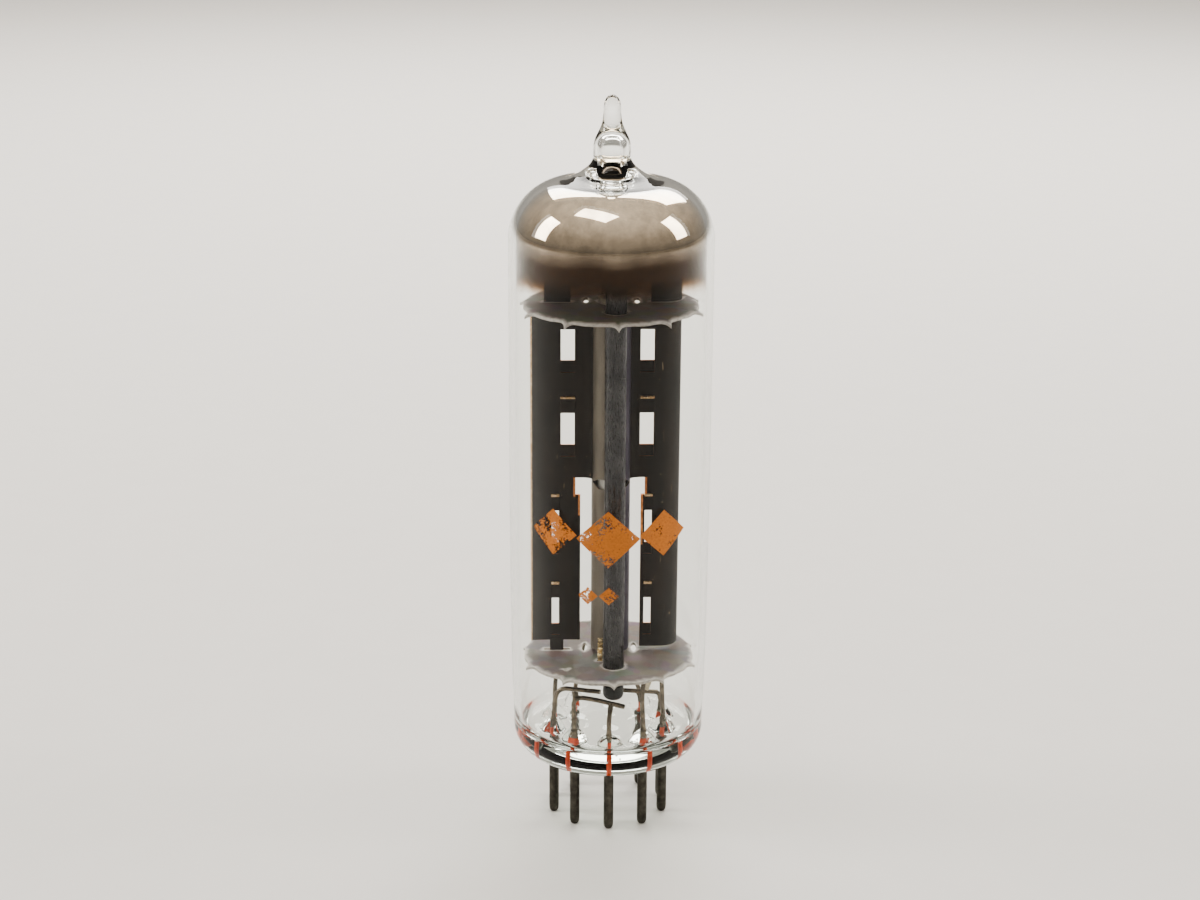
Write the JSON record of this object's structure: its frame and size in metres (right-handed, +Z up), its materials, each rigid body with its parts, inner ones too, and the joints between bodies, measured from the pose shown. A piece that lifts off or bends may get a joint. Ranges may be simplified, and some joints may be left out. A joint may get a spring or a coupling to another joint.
{
  "type": "vacuum tube",
  "caption": "Tall miniature glass vacuum tube: clear bulb with a sealed tip, button base with a ring of pins, blackened finned plate, coated cathode, slim post and mica spacers.",
  "frame": {"origin": "on the tube's axis, level with the tips of the pins it stands on", "axes": "+Z up along the tube's axis towards the exhaust tip, -Y to the front, where the slim post is, +X to the right"},
  "size_m": [0.0204, 0.0204, 0.0752],
  "materials": {
    "clear_glass": "clear polished glass",
    "pin_metal": "dull nickel alloy, slightly tarnished",
    "lead_wire": "drawn wire with a heat tint",
    "mica": "cloudy coated mica with pale flaked edges",
    "carbonised_sheet": "matt black carbonised sheet with bare copper-coloured cut edges",
    "grey_sheet": "dull grey metal",
    "post_metal": "dark satin metal",
    "cathode_oxide": "chalky white oxide on nickel",
    "bright_nickel": "bright strip with a straw tint",
    "heater_coating": "matt white alumina on tungsten"
  },
  "bodies": {
    "root": {"glass_envelope": "clear_glass", "glass_stem": "clear_glass", "base_pin_1": "pin_metal", "base_pin_2": "pin_metal", "base_pin_3": "pin_metal", "base_pin_4": "pin_metal", "base_pin_5": "pin_metal", "base_pin_6": "pin_metal", "base_pin_7": "pin_metal", "base_pin_8": "pin_metal", "base_pin_9": "pin_metal", "inner_lead_1": "lead_wire", "inner_lead_2": "lead_wire", "inner_lead_3": "lead_wire", "inner_lead_4": "lead_wire", "inner_lead_5": "lead_wire", "inner_lead_6": "lead_wire", "inner_lead_7": "lead_wire", "inner_lead_8": "lead_wire", "inner_lead_9": "lead_wire", "lower_mica": "mica", "upper_mica": "mica", "plate_column": "grey_sheet", "left_plate_fin": "carbonised_sheet", "right_plate_fin": "carbonised_sheet", "cathode_sleeve": "cathode_oxide", "heater": "heater_coating", "front_post": "post_metal", "post_end_cap": "carbonised_sheet", "post_heater": "heater_coating", "post_strap": "bright_nickel", "cathode_ribbon": "bright_nickel", "getter_ring": "bright_nickel", "getter_support": "bright_nickel"}
  },
  "joints": []
}
